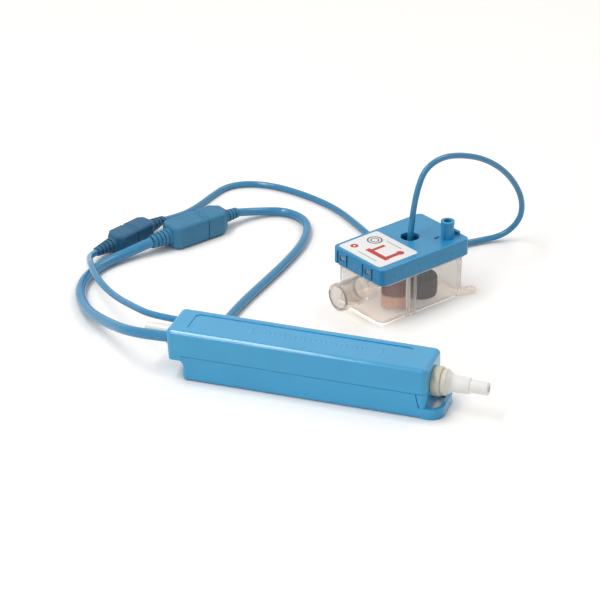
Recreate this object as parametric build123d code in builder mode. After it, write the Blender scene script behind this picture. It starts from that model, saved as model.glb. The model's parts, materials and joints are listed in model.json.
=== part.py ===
from build123d import *
import os
from math import cos, pi, radians, sin, tan

# Condensate pump in two units, in millimetres. The pump block lies along X with its outlet
# at +X, its base on Z = 0 and the origin in the middle of that base. The tank with the float
# stands behind it, turned by TANK_ANGLE, and two leads with plug connectors lie beside them.

os.makedirs("parts", exist_ok=True)

# ---------------------------------------------------------------- driving dimensions
# pump block
PUMP_LENGTH = 153.0
PUMP_WIDTH = 29.6
PUMP_HEIGHT = 30.0
SEAM_Z = 15.0               # parting line of the two casing halves
CASE_WALL = 1.8
SEAM_GAP = 0.3
SEAM_STEP = 0.35
CORNER_R = 3.2              # upright corners of the casing
TOP_EDGE_R = 2.6
BOTTOM_EDGE_R = 1.8
NOSE_OVERHANG = 9.3         # how far the cable end stands out over the lower casing
NOSE_Z = 11.8               # underside of the overhang
NOSE_RAKE = 1.3             # lean of the cable end face
NECK_R = 4.5                # hollow curve under the overhang
PANEL_LENGTH = 128.0
PANEL_WIDTH = 18.8
PANEL_DEPTH = 0.5
EYE_REACH = 8.6             # strap eye beyond the outlet end
EYE_BAR = 2.4
EYE_CORNER_R = 8.0
EYE_HEIGHT = 6.2
AXIS_Z = 17.0               # axis of the pump mechanism and the outlet

# pump mechanism
TUBE_R = 5.0
TUBE_BORE_R = 4.1
TUBE_HALF = 50.0
PISTON_HALF = 14.0
PISTON_BORE_R = 1.6
YOKE_HALF = 26.0
YOKE_PLATE = 2.0
COIL_R = 9.8
MOUNT_X = 34.0              # rubber mounts, each side of the middle
MOUNT_R = 10.6
RIB_T = 2.0
RUNNING = 0.06              # radial clearance of the piston in its tube
SPRING_R = 3.0
SPRING_WIRE_R = 0.4
SEAT_X = 31.0               # spring seats in the tube
SEAT_T = 3.0
SEAT_BORE_R = 1.8
BOBBIN_WALL = 1.0
BOBBIN_CHEEK = 1.4
SOCKET_WALL = 2.0           # ends of the tube in the inlet socket and the outlet spigot
SOCKET_DEPTH = 4.0
SLIP = 0.1                  # clearance of parts that are pushed together
AIR = 0.3                   # gap of parts that don't touch

# outlet and inlet spigots
OUTLET_COLLAR_R = 8.5
OUTLET_STEM_R = 4.9
OUTLET_TIP_R = 3.75
OUTLET_BORE_R = 2.0
INLET_Z = 21.5
INLET_R = 3.7
INLET_BORE_R = 1.9
INLET_REACH = 16.5          # beyond the cable end
INLET_FLANGE_R = 4.2
NOZZLE_R = 3.2              # inlet socket's nozzle, inside the hose
HOSE_WALL = 1.3
VALVE_ROOM_R = 3.4          # room for the discharge valve and its spring
SEAT_RING_T = 2.0
HOSE_TAIL_R = 2.9           # inner end of the inlet spigot, inside the hose
COLLAR_NECK_R = 6.2         # outlet spigot in the casing's end wall

# leads
MAINS_D = 6.2
SENSOR_D = 4.0
SUPPLY_D = 5.0
FLOAT_CABLE_D = 3.6

# mains connector: half a pair on the pump's lead, half on the supply lead
MAINS_START = (-138.6, 127.4)
MAINS_ANGLE = 57.0
MAINS_AXIS_Z = 7.4
MAINS_BOOT = 13.0
MAINS_SOCKET = 24.5
MAINS_PLUG = 17.5
MAINS_W = 17.0
MAINS_H = 14.4
MAINS_PIN_R = 0.75
MAINS_PIN_PITCH = 3.6
LIP = 0.5                   # step round the mating faces of a connector

# sensor connector
JOINT_START = (-166.0, 106.5)
JOINT_ANGLE = 67.0
JOINT_AXIS_Z = 6.4
JOINT_BOOT = 13.5
JOINT_SOCKET = 16.0
JOINT_PLUG = 16.0
JOINT_NECK = 12.5
JOINT_W = 14.0
JOINT_H = 12.4

# tank
TANK_ORIGIN = (3.2, 91.0)
TANK_ANGLE = 58.1
LID_LENGTH = 68.4
LID_WIDTH = 44.4
LID_BASE_Z = 26.5
LID_TOP_Z = 36.7
LID_SKIRT = 1.7
LID_TOP_T = 2.0
LID_CORNER_R = 3.4
BOX_INSET = 2.1             # box wall inside the lid's outline
BOX_WALL = 1.6
BOX_CORNER_R = 4.2
BOX_RIM_Z = 34.4            # top of the box wall, inside the lid
INLET_TUBE_R = 8.2
INLET_TUBE_BORE_R = 6.4
INLET_TUBE_REACH = 16.4
INLET_TUBE_Z = 15.9
RIB_X = (21.3, 26.6)        # outside ribs that back the filter's slot
EAR_AT = (70.3, 21.0)       # hole of each mounting ear
EAR_R = 3.6
EAR_T = 2.4
EAR_HOLE_R = 1.5
CABLE_HOLE = (42.2, 1.7)
CABLE_HOLE_R = 5.6
SPOUT_AT = (58.5, -13.0)
SPOUT_R = 3.8
SPOUT_BORE_R = 2.3
SPOUT_HEIGHT = 10.8
WEB_RISE = 8.6             # top of the web beside the spout, above the lid
SNAP_Y = (13.2, -9.0)
SNAP_W = 9.4
SNAP_SLOT = 1.3
BARB = 0.8
FLOAT_R = 10.2
FLOAT_H = 11.4
FLOAT_REST_Z = 3.6
FLOAT_WALL_GAP = 1.4
STEM_R = 3.2
FILTER_R = 9.0
FILTER_AT = (24.0, -7.0)
LABEL = (30.0, 37.0)

HALF_LENGTH = PUMP_LENGTH / 2
HALF_WIDTH = PUMP_WIDTH / 2
LOWER_X = -HALF_LENGTH + NOSE_OVERHANG
INSIDE_X = -HALF_LENGTH + NOSE_RAKE + CASE_WALL + 0.8  # clear of the leaning end wall's inner face
GROMMET_WALL = 0.6
GROMMET_T = 1.4
MAINS_EXIT = (-HALF_LENGTH - SLIP, -(INLET_FLANGE_R + MAINS_D / 2 + 2 * GROMMET_WALL + SLIP), 22.6)
SENSOR_EXIT = (-HALF_LENGTH - SLIP, 8.2, 24.8)
INNER_HALF_WIDTH = HALF_WIDTH - CASE_WALL
CEILING_Z = PUMP_HEIGHT - CASE_WALL


# ---------------------------------------------------------------- helpers
def turned(profile, height=AXIS_Z, across=0.0):
    """Revolve (x, radius) points about a line along X at this height, in the open part."""
    with BuildSketch(Plane.XZ.offset(-across)) as half_section:
        with BuildLine():
            Polyline(*[(x, height + radius) for x, radius in profile], close=True)
        make_face()
    revolve(half_section.sketch, axis=Axis((0, across, height), (1, 0, 0)))


def beam_plane(start, angle, z, along):
    """Plane across a connector's axis, its normal along the axis and its Y straight up."""
    way = (cos(radians(angle)), sin(radians(angle)), 0)
    place = (start[0] + along * way[0], start[1] + along * way[1], z)
    return Plane(origin=place, x_dir=(sin(radians(angle)), -cos(radians(angle)), 0), z_dir=way)


def point_on(start, angle, z, along):
    """Point on a connector's axis."""
    return tuple(beam_plane(start, angle, z, along).origin)


def cord_path(points):
    """Straight runs joined by tangent arcs, each as large as its two runs allow."""
    corners = [Vector(*p) for p in points]
    radii = []
    for before, corner, after in zip(corners, corners[1:], corners[2:]):
        turn = (corner - before).get_angle(after - corner)
        shorter = min((corner - before).length, (after - corner).length)
        radii.append(0.45 * shorter / tan(radians(turn / 2)))
    print("   radii", [round(radius, 1) for radius in radii])
    return FilletPolyline(*points, radius=radii)


def cord(points, diameter):
    """Round cord along the route, in the open part."""
    with BuildLine() as route:
        cord_path(points)
    with BuildSketch(Plane(origin=route.line @ 0, z_dir=route.line % 0)) as section:
        Circle(diameter / 2)
    sweep(section.sketch, path=route.line)
    length = sum(edge.length for edge in route.edges())
    print(f"   length {length:.1f}, section x length {pi * diameter**2 / 4 * length:.0f}")



# ---------------------------------------------------------------- pump casing
with BuildPart() as upper_casing:
    with BuildSketch(Plane.XZ):
        with BuildLine():
            Polyline(
                (-HALF_LENGTH + NOSE_RAKE, NOSE_Z),
                (LOWER_X, NOSE_Z),
                (LOWER_X, SEAM_Z),
                (HALF_LENGTH, SEAM_Z),
                (HALF_LENGTH, PUMP_HEIGHT),
                (-HALF_LENGTH, PUMP_HEIGHT),
                close=True,
            )
        make_face()
    extrude(amount=HALF_WIDTH, both=True)
    nose_corners = faces().sort_by(Axis.X)[0].edges().filter_by(Axis.Y, reverse=True)
    outlet_corners = edges().filter_by(Axis.Z).group_by(Axis.X)[-1]
    fillet(nose_corners + outlet_corners, CORNER_R)
    fillet(faces().sort_by(Axis.Z)[-1].edges(), TOP_EDGE_R)
    with BuildSketch(Plane.XZ):
        with BuildLine():
            Polyline(
                (-HALF_LENGTH + NOSE_RAKE + CASE_WALL, NOSE_Z + CASE_WALL),
                (LOWER_X - CASE_WALL, NOSE_Z + CASE_WALL),
                (LOWER_X - CASE_WALL, SEAM_Z),
                (HALF_LENGTH - CASE_WALL, SEAM_Z),
                (HALF_LENGTH - CASE_WALL, CEILING_Z),
                (-HALF_LENGTH + CASE_WALL, CEILING_Z),
                close=True,
            )
        make_face()
    extrude(amount=INNER_HALF_WIDTH, both=True, mode=Mode.SUBTRACT)
    # ribs that close over the rubber mounts
    with Locations(*[(side * MOUNT_X, 0, (SEAM_Z + CEILING_Z) / 2) for side in (-1, 1)]):
        Box(RIB_T, 2 * INNER_HALF_WIDTH, CEILING_Z - SEAM_Z)
    with Locations((0, 0, AXIS_Z)):
        Cylinder(MOUNT_R - 1.2 + SLIP, 2 * MOUNT_X + 3 * RIB_T, rotation=(0, 90, 0), mode=Mode.SUBTRACT)
    # neck holes of the spigots and the two leads
    with Locations((HALF_LENGTH, 0, AXIS_Z)):
        Cylinder(COLLAR_NECK_R + SLIP, 6, rotation=(0, 90, 0), mode=Mode.SUBTRACT)
    with Locations((-HALF_LENGTH, 0, INLET_Z)):
        Cylinder(INLET_R + SLIP, 8, rotation=(0, 90, 0), mode=Mode.SUBTRACT)
    for exit_point, diameter in ((MAINS_EXIT, MAINS_D), (SENSOR_EXIT, SENSOR_D)):
        with Locations((-HALF_LENGTH, exit_point[1], exit_point[2])):
            Cylinder(diameter / 2 + GROMMET_WALL + SLIP, 8, rotation=(0, 90, 0), mode=Mode.SUBTRACT)
    # sunk name panel on top, left bare
    with BuildSketch(Plane.XY.offset(PUMP_HEIGHT)):
        with Locations((-1.6, 0)):
            RectangleRounded(PANEL_LENGTH, PANEL_WIDTH, 3)
    extrude(amount=-PANEL_DEPTH, mode=Mode.SUBTRACT)
upper_casing.part.label = "pump_upper_casing"

with BuildPart() as lower_casing:
    flare_mid = NECK_R * cos(radians(45))
    with BuildSketch(Plane.XZ):
        with BuildLine():
            neck = ThreePointArc(
                (LOWER_X - NECK_R + 0.5, NOSE_Z),
                (LOWER_X - NECK_R + 0.5 + flare_mid, NOSE_Z - NECK_R + flare_mid),
                (LOWER_X + 0.5, NOSE_Z - NECK_R),
            )
            Polyline(
                neck @ 1,
                (LOWER_X + 0.5, 0),
                (HALF_LENGTH, 0),
                (HALF_LENGTH, SEAM_Z),
                (LOWER_X, SEAM_Z),
                (LOWER_X, NOSE_Z),
                neck @ 0,
            )
        make_face()
    extrude(amount=HALF_WIDTH, both=True)
    fillet(edges().filter_by(Axis.Z).group_by(Axis.X)[-1], CORNER_R)
    under_nose = edges().filter_by(Axis.Z).filter_by_position(Axis.Z, 0, NOSE_Z - NECK_R).group_by(Axis.X)[0]
    fillet(under_nose, CORNER_R - 0.4)
    fillet(faces().sort_by(Axis.Z)[0].edges(), BOTTOM_EDGE_R)
    # strap eye, a flat bow across the outlet end
    with BuildSketch():
        with Locations(((HALF_LENGTH - CORNER_R + HALF_LENGTH + EYE_REACH) / 2, 0)):
            bow = Rectangle(EYE_REACH + CORNER_R, PUMP_WIDTH)
        fillet(vertices().group_by(Axis.X)[-1], EYE_CORNER_R)
        offset(amount=-EYE_BAR, mode=Mode.SUBTRACT)
    extrude(amount=EYE_HEIGHT)
    with BuildSketch(Plane.XZ):
        with BuildLine():
            Polyline(
                (LOWER_X + 0.5 + CASE_WALL, CASE_WALL),
                (HALF_LENGTH - CASE_WALL, CASE_WALL),
                (HALF_LENGTH - CASE_WALL, SEAM_Z),
                (LOWER_X + 0.5 + CASE_WALL, SEAM_Z),
                close=True,
            )
        make_face()
    extrude(amount=INNER_HALF_WIDTH, both=True, mode=Mode.SUBTRACT)
    # ribs that carry the rubber mounts
    with Locations(*[(side * MOUNT_X, 0, (CASE_WALL + SEAM_Z) / 2) for side in (-1, 1)]):
        Box(RIB_T, 2 * INNER_HALF_WIDTH, SEAM_Z - CASE_WALL)
    with Locations((0, 0, AXIS_Z)):
        Cylinder(MOUNT_R - 1.2 + SLIP, 2 * MOUNT_X + 3 * RIB_T, rotation=(0, 90, 0), mode=Mode.SUBTRACT)
    with Locations((HALF_LENGTH, 0, AXIS_Z)):
        Cylinder(COLLAR_NECK_R + SLIP, 6, rotation=(0, 90, 0), mode=Mode.SUBTRACT)
    # posts under the control board
    with Locations(*[(x, y, (CASE_WALL + 4.4) / 2) for x in (-61.0, -39.0) for y in (-9.0, 9.0)]):
        Cylinder(1.6, 4.4 - CASE_WALL)
    # fine step all round under the seam
    with BuildSketch(Plane.XY.offset(SEAM_Z - SEAM_GAP)):
        with Locations(((LOWER_X + HALF_LENGTH) / 2, 0)):
            Rectangle(HALF_LENGTH - LOWER_X + 4, PUMP_WIDTH + 4)
            RectangleRounded(
                HALF_LENGTH - LOWER_X - 2 * SEAM_STEP, PUMP_WIDTH - 2 * SEAM_STEP, CORNER_R - SEAM_STEP,
                mode=Mode.SUBTRACT,
            )
    extrude(amount=SEAM_GAP, mode=Mode.SUBTRACT)
    # catch groove near the outlet end
    with BuildSketch(Plane.XZ.offset(HALF_WIDTH)):
        with BuildLine():
            Polyline((70.0, 14.6), (70.7, 14.6), (72.6, 6.2), (71.9, 6.2), close=True)
        make_face()
    extrude(amount=-0.8, mode=Mode.SUBTRACT)
lower_casing.part.label = "pump_lower_casing"

# ---------------------------------------------------------------- spigots and grommets
with BuildPart() as outlet_spigot:
    chamber_r = TUBE_R + SOCKET_WALL + 2 * SLIP
    turned(
        [
            (TUBE_HALF - SOCKET_DEPTH, TUBE_R + SLIP), (TUBE_HALF - SOCKET_DEPTH, chamber_r),
            (HALF_LENGTH - 7.0, chamber_r), (HALF_LENGTH - 7.0, chamber_r + 1.4),
            (HALF_LENGTH - CASE_WALL, chamber_r + 1.4), (HALF_LENGTH - CASE_WALL, COLLAR_NECK_R),
            (HALF_LENGTH, COLLAR_NECK_R), (HALF_LENGTH, OUTLET_COLLAR_R - 0.3),
            (HALF_LENGTH + 0.3, OUTLET_COLLAR_R), (HALF_LENGTH + 4.6, OUTLET_COLLAR_R - 0.1),
            (HALF_LENGTH + 5.0, OUTLET_COLLAR_R - 0.5), (HALF_LENGTH + 5.0, 7.2),
            (HALF_LENGTH + 5.7, 7.2), (HALF_LENGTH + 5.7, 7.6), (HALF_LENGTH + 7.8, 7.5),
            (HALF_LENGTH + 8.3, 6.9), (HALF_LENGTH + 9.4, 6.3), (HALF_LENGTH + 11.0, OUTLET_STEM_R + 0.3),
            (HALF_LENGTH + 12.2, OUTLET_STEM_R), (HALF_LENGTH + 20.9, OUTLET_STEM_R - 0.3),
            (HALF_LENGTH + 21.3, OUTLET_TIP_R), (HALF_LENGTH + 31.0, OUTLET_TIP_R),
            (HALF_LENGTH + 31.6, OUTLET_TIP_R - 0.6), (HALF_LENGTH + 31.6, OUTLET_BORE_R),
            (TUBE_HALF + 10.0, OUTLET_BORE_R), (TUBE_HALF + 10.0, VALVE_ROOM_R),
            (TUBE_HALF + SEAT_RING_T + AIR, VALVE_ROOM_R), (TUBE_HALF + SEAT_RING_T + AIR, TUBE_R + SLIP),
        ]
    )
outlet_spigot.part.label = "outlet_spigot"

with BuildPart() as inlet_spigot:
    turned(
        [
            (-HALF_LENGTH - INLET_REACH, INLET_BORE_R), (-HALF_LENGTH - INLET_REACH, INLET_R - 0.5),
            (-HALF_LENGTH - INLET_REACH + 0.6, INLET_R), (-HALF_LENGTH - 0.4, INLET_R),
            (-HALF_LENGTH - 0.4, INLET_R - 0.2), (INSIDE_X, INLET_R - 0.2), (INSIDE_X, INLET_FLANGE_R),
            (INSIDE_X + 1.2, INLET_FLANGE_R), (INSIDE_X + 1.2, HOSE_TAIL_R), (INSIDE_X + 6.6, HOSE_TAIL_R),
            (INSIDE_X + 6.6, INLET_BORE_R),
        ],
        height=INLET_Z,
    )
inlet_spigot.part.label = "inlet_spigot"


def grommet(exit_point, diameter):
    """Bush of one lead: a neck through the casing's end wall and a flange behind it."""
    out = exit_point[0]
    neck_r = diameter / 2 + GROMMET_WALL
    flange_r = neck_r + GROMMET_WALL
    turned(
        [
            (out, 0.0), (out, neck_r), (INSIDE_X, neck_r), (INSIDE_X, flange_r),
            (INSIDE_X + GROMMET_T, flange_r), (INSIDE_X + GROMMET_T, 0.0),
        ],
        height=exit_point[2],
        across=exit_point[1],
    )


with BuildPart() as mains_grommet:
    grommet(MAINS_EXIT, MAINS_D)
mains_grommet.part.label = "mains_grommet"

with BuildPart() as sensor_grommet:
    grommet(SENSOR_EXIT, SENSOR_D)
sensor_grommet.part.label = "sensor_grommet"

# ---------------------------------------------------------------- pump mechanism
with BuildPart() as cylinder_tube:
    turned([(-TUBE_HALF, TUBE_BORE_R), (-TUBE_HALF, TUBE_R), (TUBE_HALF, TUBE_R), (TUBE_HALF, TUBE_BORE_R)])
cylinder_tube.part.label = "cylinder_tube"

with BuildPart() as piston:
    piston_r = TUBE_BORE_R - RUNNING
    turned(
        [
            (-PISTON_HALF, PISTON_BORE_R), (-PISTON_HALF, piston_r - 0.5), (-PISTON_HALF + 0.5, piston_r),
            (-3.0, piston_r), (-2.5, piston_r - 0.4), (2.5, piston_r - 0.4), (3.0, piston_r),
            (PISTON_HALF - 0.5, piston_r), (PISTON_HALF, piston_r - 0.5), (PISTON_HALF, PISTON_BORE_R),
        ]
    )
piston.part.label = "piston"


def coil_spring(start, length, turns, radius, wire):
    """Round-wire spring along the mechanism's axis, in the open part."""
    with BuildLine() as wire_line:
        Helix(length / turns, length, radius, center=(start, 0, AXIS_Z), direction=(1, 0, 0))
    with BuildSketch(Plane(origin=wire_line.line @ 0, z_dir=wire_line.line % 0)) as section:
        RegularPolygon(wire, 8)
    sweep(section.sketch, path=wire_line.line, is_frenet=True)


with BuildPart() as front_spring:
    coil_spring(PISTON_HALF + 0.6, SEAT_X - PISTON_HALF - 1.2, 5, SPRING_R, SPRING_WIRE_R)
front_spring.part.label = "front_spring"

with BuildPart() as rear_spring:
    coil_spring(-SEAT_X + 0.6, SEAT_X - PISTON_HALF - 1.2, 5, SPRING_R, SPRING_WIRE_R)
rear_spring.part.label = "rear_spring"

with BuildPart() as spring_seats:
    for side in (-1, 1):
        turned(
            [
                (side * SEAT_X, SEAT_BORE_R), (side * SEAT_X, TUBE_BORE_R - 0.04),
                (side * (SEAT_X + SEAT_T), TUBE_BORE_R - 0.04), (side * (SEAT_X + SEAT_T), SEAT_BORE_R),
            ]
        )
spring_seats.part.label = "spring_seats"

HUB_R = TUBE_R + SLIP + BOBBIN_WALL
with BuildPart() as coil_bobbin:
    inner_half = YOKE_HALF - YOKE_PLATE - SLIP
    cheek_r = COIL_R + 0.3
    turned(
        [
            (-inner_half, TUBE_R + SLIP), (-inner_half, cheek_r), (-inner_half + BOBBIN_CHEEK, cheek_r),
            (-inner_half + BOBBIN_CHEEK, HUB_R), (inner_half - BOBBIN_CHEEK, HUB_R),
            (inner_half - BOBBIN_CHEEK, cheek_r), (inner_half, cheek_r), (inner_half, TUBE_R + SLIP),
        ]
    )
coil_bobbin.part.label = "coil_bobbin"

with BuildPart() as copper_coil:
    coil_half = YOKE_HALF - YOKE_PLATE - BOBBIN_CHEEK - 2 * SLIP
    coil_bore_r = HUB_R + SLIP
    turned([(-coil_half, coil_bore_r), (-coil_half, COIL_R), (coil_half, COIL_R), (coil_half, coil_bore_r)])
copper_coil.part.label = "copper_coil"

with BuildPart() as yoke:
    with BuildSketch(Plane.XY.offset(AXIS_Z - 9)):
        Rectangle(2 * YOKE_HALF, 2 * INNER_HALF_WIDTH - 1.0)
        Rectangle(2 * (YOKE_HALF - YOKE_PLATE), 2 * INNER_HALF_WIDTH - 1.0 - 2 * 1.9, mode=Mode.SUBTRACT)
    extrude(amount=18)
    with Locations((0, 0, AXIS_Z)):
        Cylinder(TUBE_R + SLIP, 3 * YOKE_HALF, rotation=(0, 90, 0), mode=Mode.SUBTRACT)
yoke.part.label = "magnet_yoke"


def rubber_mount(centre):
    """Ring on the tube with a groove that takes the casing's rib."""
    turned(
        [
            (centre - 3.5, TUBE_R + 0.05), (centre - 3.5, MOUNT_R), (centre - RIB_T / 2 - SLIP, MOUNT_R),
            (centre - RIB_T / 2 - SLIP, MOUNT_R - 1.2), (centre + RIB_T / 2 + SLIP, MOUNT_R - 1.2),
            (centre + RIB_T / 2 + SLIP, MOUNT_R), (centre + 3.5, MOUNT_R), (centre + 3.5, TUBE_R + 0.05),
        ]
    )


with BuildPart() as rubber_mounts:
    for side in (-1, 1):
        rubber_mount(side * MOUNT_X)
rubber_mounts.part.label = "rubber_mounts"

with BuildPart() as valve_seat:
    ring_end = TUBE_HALF + SEAT_RING_T
    turned([(TUBE_HALF, 1.4), (TUBE_HALF, TUBE_R), (ring_end, TUBE_R), (ring_end, 1.4)])
valve_seat.part.label = "discharge_seat"

with BuildPart() as discharge_valve:
    start = TUBE_HALF + SEAT_RING_T + 0.05
    disc_end, pin_end = start + 1.2, start + 4.5
    turned([(start, 0), (start, 2.6), (disc_end, 2.6), (disc_end, 0.8), (pin_end, 0.8), (pin_end, 0)])
discharge_valve.part.label = "discharge_valve"

with BuildPart() as valve_spring:
    coil_spring(TUBE_HALF + SEAT_RING_T + 1.6, 6.0, 4, 1.7, 0.25)
valve_spring.part.label = "valve_spring"

with BuildPart() as inlet_socket:
    turned(
        [
            (-TUBE_HALF + SOCKET_DEPTH, TUBE_R + SLIP), (-TUBE_HALF + SOCKET_DEPTH, TUBE_R + SOCKET_WALL),
            (-TUBE_HALF - 3.0, TUBE_R + SOCKET_WALL), (-TUBE_HALF - 3.0, NOZZLE_R), (-TUBE_HALF - 8.5, NOZZLE_R),
            (-TUBE_HALF - 8.5, INLET_BORE_R), (-TUBE_HALF - AIR, INLET_BORE_R), (-TUBE_HALF - AIR, TUBE_R + SLIP),
        ]
    )
inlet_socket.part.label = "inlet_socket"

with BuildPart() as suction_hose:
    # bent rubber sleeve from the spigot down to the tube's inlet
    near_r = NOZZLE_R + SLIP
    far_r = HOSE_TAIL_R + SLIP
    bend_near, bend_far = -TUBE_HALF - 9.0, INSIDE_X + 7.1
    outside = ((-TUBE_HALF - 4.0, AXIS_Z, near_r), (bend_near, AXIS_Z, near_r),
               (bend_far, INLET_Z, far_r), (INSIDE_X + 1.7, INLET_Z, far_r))
    inside = ((-TUBE_HALF - 3.0, AXIS_Z, near_r), (bend_near, AXIS_Z, near_r),
              (bend_far, INLET_Z, far_r), (INSIDE_X + 1.0, INLET_Z, far_r))
    for x, z, radius in outside:
        with BuildSketch(Plane.YZ.offset(x)):
            with Locations((0, z)):
                Circle(radius + HOSE_WALL)
    loft(ruled=True)
    for x, z, radius in inside:
        with BuildSketch(Plane.YZ.offset(x)):
            with Locations((0, z)):
                Circle(radius)
    loft(ruled=True, mode=Mode.SUBTRACT)
suction_hose.part.label = "suction_hose"

with BuildPart() as control_board:
    with Locations((-50.0, 0, 4.4 + 0.8)):
        Box(27.0, 2 * INNER_HALF_WIDTH - 1.4, 1.6)
    with Locations((-57.0, -6.5, 6.0 + 2.2)):
        Box(9.0, 6.0, 4.4)
    with Locations((-46.0, 7.0, 6.0 + 2.0)):
        Cylinder(3.0, 4.0)
    with Locations((-44.0, -6.0, 6.0 + 1.0)):
        Box(6.0, 7.0, 2.0)
control_board.part.label = "control_board"


# ---------------------------------------------------------------- mains connector
def connector_block(start, angle, z, back, face, width, height, corner):
    """Moulded half of a connector, its cut corners at the cable's end and a lip at the other."""
    way = Vector(cos(radians(angle)), sin(radians(angle)), 0)
    side = 1 if face > back else -1
    level = Plane(origin=(*start, z - height / 2), x_dir=way, z_dir=(0, 0, 1))
    half = width / 2
    with BuildSketch(level) as plan:
        with BuildLine():
            Polyline(
                (face - side * LIP, -half), (face - side * LIP, half), (back + side * corner, half),
                (back, half - corner * 0.8), (back, -half + corner * 0.8), (back + side * corner, -half),
                close=True,
            )
        make_face()
    extrude(plan.sketch, amount=height)
    block = edges().group_by(Axis.Z)
    fillet(block[0] + block[-1], 2.2)
    with BuildSketch(beam_plane(start, angle, z, face)) as lip:
        RectangleRounded(width - 2 * LIP, height - 2 * LIP, 1.8)
    extrude(lip.sketch, amount=-side * LIP * 2)


def boot(start, angle, z, begin, end, thin, thick, grooves):
    """Tapered strain relief with grooves round it; thin at the cable's end."""
    with BuildSketch(beam_plane(start, angle, z, begin)) as near_end:
        Circle(thin)
    with BuildSketch(beam_plane(start, angle, z, end)) as far_end:
        Circle(thick)
    loft([near_end.sketch, far_end.sketch], ruled=True)
    pitch = (end - begin) / (grooves + 1)
    for number in range(grooves):
        place = begin + (number + 1) * pitch - 0.45
        with BuildSketch(beam_plane(start, angle, z, place)) as groove:
            Circle(max(thin, thick) + 1)
            Circle(thin + (thick - thin) * (place - begin) / (end - begin) - 0.7, mode=Mode.SUBTRACT)
        extrude(groove.sketch, amount=0.9, mode=Mode.SUBTRACT)


S_BLOCK = MAINS_BOOT
S_JOINT = MAINS_BOOT + MAINS_SOCKET
S_END = S_JOINT + MAINS_PLUG
MAINS = (MAINS_START, MAINS_ANGLE, MAINS_AXIS_Z)
PIN_ROW = [(side * MAINS_PIN_PITCH, 0) for side in (-1, 0, 1)]
PIN_IN = 9.0

with BuildPart() as mains_socket:
    connector_block(*MAINS, S_BLOCK, S_JOINT, MAINS_W, MAINS_H, 3.4)
    with BuildSketch(beam_plane(*MAINS, S_JOINT)):
        with Locations(*PIN_ROW):
            Circle(MAINS_PIN_R + SLIP)
    extrude(amount=-PIN_IN - 1, mode=Mode.SUBTRACT)
mains_socket.part.label = "mains_socket"

with BuildPart() as mains_socket_boot:
    boot(*MAINS, 0, S_BLOCK, MAINS_D / 2 + 0.9, 5.2, 4)
mains_socket_boot.part.label = "mains_socket_boot"

with BuildPart() as mains_plug:
    connector_block(*MAINS, S_END, S_JOINT, MAINS_W, MAINS_H, 5.6)
    with BuildSketch(beam_plane(*MAINS, S_JOINT)):
        with Locations(*PIN_ROW):
            Circle(MAINS_PIN_R)
    extrude(amount=6, mode=Mode.SUBTRACT)
mains_plug.part.label = "mains_plug"

with BuildPart() as mains_pins:
    with BuildSketch(beam_plane(*MAINS, S_JOINT - PIN_IN)):
        with Locations(*PIN_ROW):
            Circle(MAINS_PIN_R)
    extrude(amount=PIN_IN + 6)
mains_pins.part.label = "mains_pins"

BOOT_OUT = 10.0
with BuildPart() as mains_plug_boot:
    boot(*MAINS, S_END, S_END + BOOT_OUT, 4.0, SUPPLY_D / 2 + 0.7, 3)
mains_plug_boot.part.label = "mains_plug_boot"

# ---------------------------------------------------------------- sensor connector
J_BLOCK = JOINT_BOOT
J_JOINT = J_BLOCK + JOINT_SOCKET
J_END = J_JOINT + JOINT_PLUG
JOINT = (JOINT_START, JOINT_ANGLE, JOINT_AXIS_Z)
SENSOR_PIN_ROW = [(side * 2.6, 0) for side in (-1, 0, 1)]

with BuildPart() as sensor_socket:
    connector_block(*JOINT, J_BLOCK, J_JOINT, JOINT_W, JOINT_H, 4.4)
    with BuildSketch(beam_plane(*JOINT, J_JOINT)):
        with Locations(*SENSOR_PIN_ROW):
            Circle(0.5 + SLIP)
    extrude(amount=-7, mode=Mode.SUBTRACT)
sensor_socket.part.label = "sensor_socket"

with BuildPart() as sensor_socket_boot:
    boot(*JOINT, 0, J_BLOCK, SENSOR_D / 2 + 0.8, 4.6, 4)
sensor_socket_boot.part.label = "sensor_socket_boot"

with BuildPart() as sensor_plug:
    connector_block(*JOINT, J_END, J_JOINT, JOINT_W, JOINT_H, 3.6)
    with BuildSketch(beam_plane(*JOINT, J_JOINT)):
        with Locations(*SENSOR_PIN_ROW):
            Circle(0.5)
    extrude(amount=5, mode=Mode.SUBTRACT)
sensor_plug.part.label = "sensor_plug"

with BuildPart() as sensor_plug_boot:
    boot(*JOINT, J_END, J_END + JOINT_NECK, 4.4, FLOAT_CABLE_D / 2 + 0.8, 3)
sensor_plug_boot.part.label = "sensor_plug_boot"

with BuildPart() as sensor_pins:
    with BuildSketch(beam_plane(*JOINT, J_JOINT - 6)):
        with Locations(*SENSOR_PIN_ROW):
            Circle(0.5)
    extrude(amount=11)
sensor_pins.part.label = "sensor_pins"

# ---------------------------------------------------------------- tank
way_x, way_y = cos(radians(TANK_ANGLE)), sin(radians(TANK_ANGLE))
TANK = Plane(origin=(*TANK_ORIGIN, 0), x_dir=(way_x, way_y, 0), z_dir=(0, 0, 1))
BOX_X0 = BOX_INSET
BOX_X1 = LID_LENGTH - BOX_INSET
BOX_MID = (BOX_X0 + BOX_X1) / 2
BOX_L = BOX_X1 - BOX_X0
BOX_W = LID_WIDTH - 2 * BOX_INSET
LID_MID = LID_LENGTH / 2
FLOAT_AT = (42.5, FLOAT_R + FLOAT_WALL_GAP - (BOX_W / 2 - BOX_WALL))


def tank_point(x, y, z):
    """World place of a point given in the tank's own frame."""
    return tuple(TANK.from_local_coords((x, y, z)))


def tank_side(x, z=0.0):
    """Upright plane across the tank's length, its X along the tank's Y and its normal along its X."""
    return Plane(origin=tank_point(x, 0, z), x_dir=(-way_y, way_x, 0), z_dir=(way_x, way_y, 0))


def tank_front(y):
    """Upright plane along the tank's length, its normal away from the front."""
    return Plane(origin=tank_point(0, y, 0), x_dir=(way_x, way_y, 0), z_dir=(way_y, -way_x, 0))


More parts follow.
